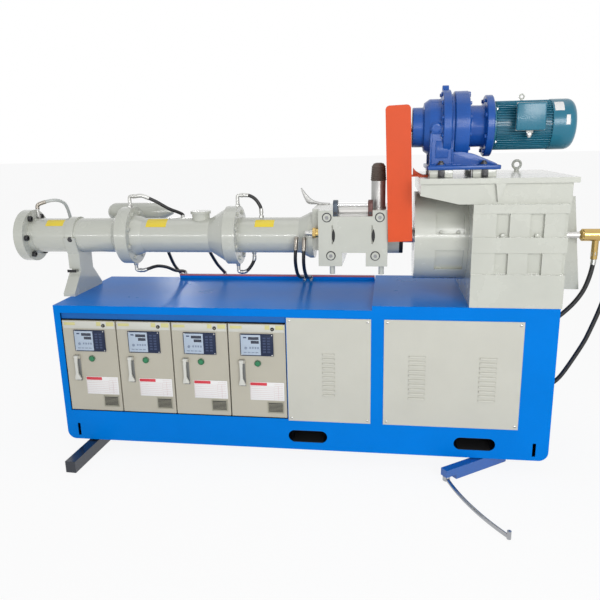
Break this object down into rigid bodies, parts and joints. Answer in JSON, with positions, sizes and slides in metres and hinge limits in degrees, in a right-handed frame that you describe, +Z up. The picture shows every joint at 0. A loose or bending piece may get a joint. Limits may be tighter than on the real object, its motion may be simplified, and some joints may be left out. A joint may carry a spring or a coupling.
{
  "type": "cold feed rubber extruder",
  "caption": "Cold-feed vented rubber extruder with a blue base cabinet, flanged barrel, feed roll drive, gearbox and temperature control doors.",
  "frame": {"origin": "middle of the whole machine in plan, on the floor", "axes": "+X along the screw from the die head to the gearbox, +Y to the back, +Z up"},
  "size_m": [2.762, 1.1064, 1.634],
  "materials": {
    "arm_black": "black enamel",
    "brass_body": "machined",
    "bright_steel": "machined",
    "button_green": "green",
    "cast_parts": "as cast",
    "chrome_plate": "polished",
    "control_blue": "dark blue",
    "dark_steel": "oiled",
    "frame_blue": "satin blue enamel",
    "guard_orange": "orange enamel",
    "handle_grey": "grey",
    "hose_rubber": "smooth black",
    "machine_grey": "light grey enamel",
    "motor_teal": "gloss teal enamel",
    "panel_cream": "cream enamel",
    "reducer_blue": "gloss blue enamel"
  },
  "bodies": {
    "machine": {"base_frame": "frame_blue", "levelling_feet": "bright_steel", "centre_panel": "panel_cream", "right_panel": "panel_cream", "panel_screws": "chrome_plate", "temperature_units": "cast_parts", "main_motor": "reducer_blue", "drive_belts": "hose_rubber", "gear_bearings": "chrome_plate", "gearbox_housing": "machine_grey", "gearbox_bell": "machine_grey", "upper_box": "machine_grey", "gearbox_lid": "machine_grey", "belt_cover": "machine_grey", "feed_housing": "machine_grey", "feed_cover": "machine_grey", "roll_bracket": "dark_steel", "feed_cylinder": "bright_steel", "head_flange": "machine_grey", "barrel_front": "machine_grey", "barrel_vented": "machine_grey", "barrel_rear": "machine_grey", "machine_bolts": "dark_steel", "vent_cap": "machine_grey", "support_leg": "machine_grey", "chain_guard": "guard_orange", "drive_chain": "dark_steel", "reducer": "reducer_blue", "feed_motor": "motor_teal", "motor_mounts": "bright_steel", "lifting_eyes": "dark_steel", "rotary_union": "brass_body", "hoses": "hose_rubber", "hose_fittings": "chrome_plate"},
    "door_1": {"door_1": "panel_cream", "controller_1": "control_blue"},
    "handle_1": {"door_handle_1": "handle_grey"},
    "button_1": {"start_button_1": "button_green"},
    "door_2": {"door_2": "panel_cream", "controller_2": "control_blue"},
    "handle_2": {"door_handle_2": "handle_grey"},
    "button_2": {"start_button_2": "button_green"},
    "door_3": {"door_3": "panel_cream", "controller_3": "control_blue"},
    "handle_3": {"door_handle_3": "handle_grey"},
    "button_3": {"start_button_3": "button_green"},
    "door_4": {"door_4": "panel_cream", "controller_4": "control_blue"},
    "handle_4": {"door_handle_4": "handle_grey"},
    "button_4": {"start_button_4": "button_green"},
    "screw_line": {"extruder_screw": "bright_steel", "bull_gear": "bright_steel"},
    "gear_input": {"input_shaft": "bright_steel"},
    "main_rotor": {"motor_rotor": "dark_steel"},
    "feed_roll": {"feed_roll": "bright_steel"},
    "reducer_output": {"reducer_shaft": "bright_steel"},
    "feed_rotor": {"feed_motor_rotor": "dark_steel"},
    "left_arm": {"arm_left": "arm_black"},
    "right_arm": {"arm_right": "frame_blue"},
    "bar": {"tie_bar": "dark_steel"}
  },
  "joints": [
    {"name": "door_1_swing", "type": "hinge", "parent": "machine", "child": "door_1", "pos_m": [-0.829, -0.05758, 0.435], "axis": [0, 0, 1], "range_deg": [0, 90]},
    {"name": "handle_1_lift", "type": "hinge", "parent": "door_1", "child": "handle_1", "pos_m": [-1.019, -0.07578, 0.482], "axis": [-1, 0, 0], "range_deg": [0, 40]},
    {"name": "button_1_press", "type": "slide", "parent": "door_1", "child": "button_1", "axis": [0, 1, 0], "range_m": [0, 0.003], "stiffness_N_per_m": 400, "springref_m": -0.002},
    {"name": "door_2_swing", "type": "hinge", "parent": "machine", "child": "door_2", "pos_m": [-0.569, -0.05758, 0.435], "axis": [0, 0, 1], "range_deg": [0, 90]},
    {"name": "handle_2_lift", "type": "hinge", "parent": "door_2", "child": "handle_2", "pos_m": [-0.759, -0.07578, 0.482], "axis": [-1, 0, 0], "range_deg": [0, 40]},
    {"name": "button_2_press", "type": "slide", "parent": "door_2", "child": "button_2", "axis": [0, 1, 0], "range_m": [0, 0.003], "stiffness_N_per_m": 400, "springref_m": -0.002},
    {"name": "door_3_swing", "type": "hinge", "parent": "machine", "child": "door_3", "pos_m": [-0.309, -0.05758, 0.435], "axis": [0, 0, 1], "range_deg": [0, 90]},
    {"name": "handle_3_lift", "type": "hinge", "parent": "door_3", "child": "handle_3", "pos_m": [-0.499, -0.07578, 0.482], "axis": [-1, 0, 0], "range_deg": [0, 40]},
    {"name": "button_3_press", "type": "slide", "parent": "door_3", "child": "button_3", "axis": [0, 1, 0], "range_m": [0, 0.003], "stiffness_N_per_m": 400, "springref_m": -0.002},
    {"name": "door_4_swing", "type": "hinge", "parent": "machine", "child": "door_4", "pos_m": [-0.049, -0.05758, 0.435], "axis": [0, 0, 1], "range_deg": [0, 90]},
    {"name": "handle_4_lift", "type": "hinge", "parent": "door_4", "child": "handle_4", "pos_m": [-0.239, -0.07578, 0.482], "axis": [-1, 0, 0], "range_deg": [0, 40]},
    {"name": "button_4_press", "type": "slide", "parent": "door_4", "child": "button_4", "axis": [0, 1, 0], "range_m": [0, 0.003], "stiffness_N_per_m": 400, "springref_m": -0.002},
    {"name": "screw_spin", "type": "hinge", "parent": "machine", "child": "screw_line", "pos_m": [-0.011, 0.24322, 1], "axis": [1, 0, 0], "continuous": true},
    {"name": "gear_input_spin", "type": "hinge", "parent": "machine", "child": "gear_input", "pos_m": [0.849, 0.43322, 1], "axis": [1, 0, 0], "continuous": true},
    {"name": "main_motor_spin", "type": "hinge", "parent": "machine", "child": "main_rotor", "pos_m": [0.849, 0.43322, 0.329], "axis": [1, 0, 0], "continuous": true},
    {"name": "feed_roll_spin", "type": "hinge", "parent": "machine", "child": "feed_roll", "pos_m": [0.232, 0.16322, 1.065], "axis": [1, 0, 0], "continuous": true},
    {"name": "reducer_output_spin", "type": "hinge", "parent": "machine", "child": "reducer_output", "pos_m": [0.509, 0.16322, 1.468], "axis": [1, 0, 0], "continuous": true},
    {"name": "feed_motor_spin", "type": "hinge", "parent": "machine", "child": "feed_rotor", "pos_m": [0.939, 0.16322, 1.468], "axis": [1, 0, 0], "continuous": true},
    {"name": "left_arm_swing", "type": "hinge", "parent": "machine", "child": "left_arm", "pos_m": [-0.9801, 0.05102, 0.032], "axis": [0, 0, 1], "range_deg": [0, 90]},
    {"name": "right_arm_swing", "type": "hinge", "parent": "machine", "child": "right_arm", "pos_m": [0.91894, 0.038, 0.032], "axis": [0, 0, 1], "range_deg": [-35, 25]},
    {"name": "bar_swing", "type": "hinge", "parent": "right_arm", "child": "bar", "pos_m": [0.65699, -0.1594, 0.015], "axis": [0, 0, 1], "range_deg": [-75, 50]}
  ],
  "couplings": [
    {"joint": "gear_input_spin", "follows": "screw_spin", "ratio": -2.8},
    {"joint": "main_motor_spin", "follows": "screw_spin", "ratio": -4.1067},
    {"joint": "reducer_output_spin", "follows": "feed_roll_spin", "ratio": 0.875},
    {"joint": "feed_motor_spin", "follows": "feed_roll_spin", "ratio": -14.875}
  ]
}
